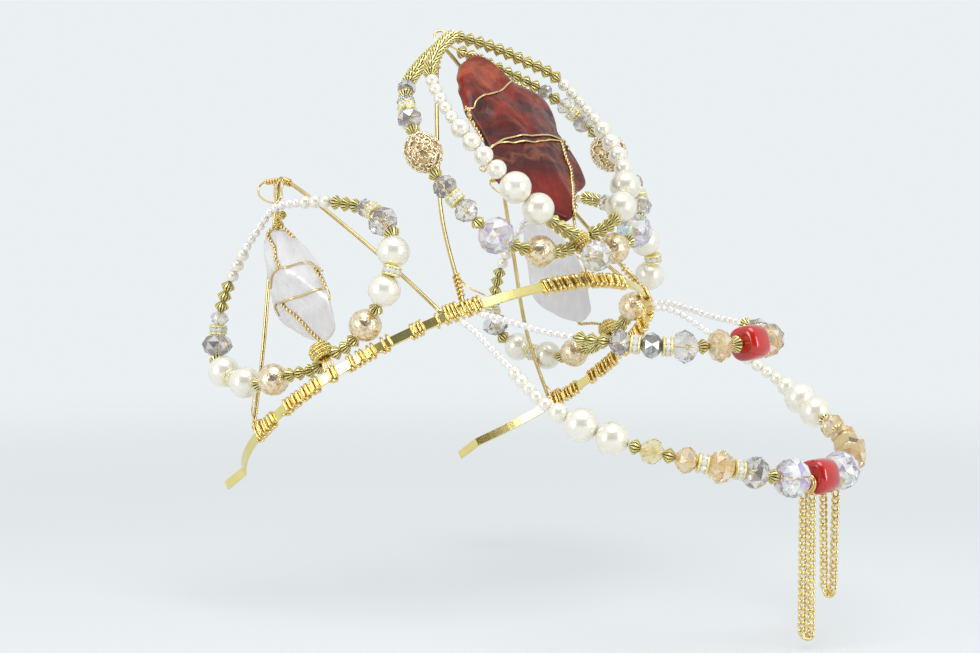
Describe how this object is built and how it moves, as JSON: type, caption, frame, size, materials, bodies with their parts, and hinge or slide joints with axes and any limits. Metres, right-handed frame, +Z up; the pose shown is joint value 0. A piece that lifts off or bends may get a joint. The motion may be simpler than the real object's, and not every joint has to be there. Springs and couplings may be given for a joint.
{
  "type": "tiara",
  "caption": "Open wire-wrapped bead tiara: flat band, pointed petals with stones and bead loops, two brow swags and swinging chain loops.",
  "frame": {"origin": "centre of the circle that the band follows, at mid height of the strip", "axes": "+Z up as worn, -Y to the front where the swags hang, -X to the wearer's right; the band lies tipped back by 32.4 degrees about X, higher at the front"},
  "size_m": [0.1514, 0.1997, 0.1802],
  "materials": {
    "gold": "polished gold-coloured wire and strip",
    "antique_gold": "antique gold bicone beads with dark grooves",
    "filigree": "champagne-coloured pierced metal bead",
    "pearl": "cream nacre with a soft sheen",
    "champagne_crystal": "faceted champagne and smoky crystal",
    "clear_crystal": "faceted clear crystal with a rainbow coating",
    "quartz": "milky translucent quartz, polished",
    "jasper": "red and brown streaked jasper, polished",
    "coral": "red coral, polished"
  },
  "bodies": {
    "tiara": {"band": "gold", "centre_petal_frame": "gold", "centre_apex_tie": "gold", "centre_base_tie": "gold", "left_end_winding": "gold", "left_rear_petal_winding": "gold", "left_front_petal_winding": "gold", "left_petal_foot_winding": "gold", "left_swag_winding": "gold", "left_centre_winding": "gold", "left_petal_frame": "gold", "left_apex_tie": "gold", "left_base_tie": "gold", "left_loop_front": "pearl", "left_loop_top": "pearl", "left_loop_rear": "pearl", "left_inner_loop": "pearl", "left_outer_loop_base": "antique_gold", "left_outer_loop_crystal": "clear_crystal", "left_outer_loop_middle": "champagne_crystal", "left_outer_loop_filigree": "filigree", "left_outer_loop_top": "antique_gold", "left_quartz": "quartz", "right_end_winding": "gold", "right_rear_petal_winding": "gold", "right_front_petal_winding": "gold", "right_petal_foot_winding": "gold", "right_swag_winding": "gold", "right_centre_winding": "gold", "right_petal_frame": "gold", "right_apex_tie": "gold", "right_base_tie": "gold", "right_loop_front": "pearl", "right_loop_top": "pearl", "right_loop_rear": "pearl", "right_inner_loop": "pearl", "right_outer_loop_base": "antique_gold", "right_outer_loop_crystal": "clear_crystal", "right_outer_loop_middle": "champagne_crystal", "right_outer_loop_filigree": "filigree", "right_outer_loop_top": "antique_gold", "right_quartz": "quartz", "jasper": "jasper", "front_crystal": "clear_crystal"},
    "upper_swag": {"upper_swag_left": "pearl", "upper_swag_coral": "coral", "upper_swag_right": "pearl"},
    "lower_swag": {"lower_swag_left_pearls": "pearl", "lower_swag_left_crystals": "champagne_crystal", "lower_swag_left_clear": "clear_crystal", "lower_swag_right_pearls": "pearl", "lower_swag_right_crystals": "champagne_crystal", "lower_swag_right_clear": "clear_crystal", "lower_swag_coral": "coral"},
    "long_chain_loop": {"long_chain_ring": "gold", "long_chain": "gold"},
    "short_chain_loop": {"short_chain_ring": "gold", "short_chain": "gold"}
  },
  "joints": [
    {"name": "upper_swag_pivot", "type": "hinge", "parent": "tiara", "child": "upper_swag", "pos_m": [0, -0.05265, 0.02939], "axis": [1, 0, 0], "range_deg": [-25, 25]},
    {"name": "lower_swag_pivot", "type": "hinge", "parent": "tiara", "child": "lower_swag", "pos_m": [0, -0.04936, 0.0273], "axis": [1, 0, 0], "range_deg": [-25, 25]},
    {"name": "long_chain_swing", "type": "hinge", "parent": "lower_swag", "child": "long_chain_loop", "pos_m": [-0.0036, -0.14611, -0.01505], "axis": [1, 0, 0], "range_deg": [-50, 50]},
    {"name": "short_chain_swing", "type": "hinge", "parent": "lower_swag", "child": "short_chain_loop", "pos_m": [0.0072, -0.14611, -0.01505], "axis": [1, 0, 0], "range_deg": [-50, 50]}
  ]
}
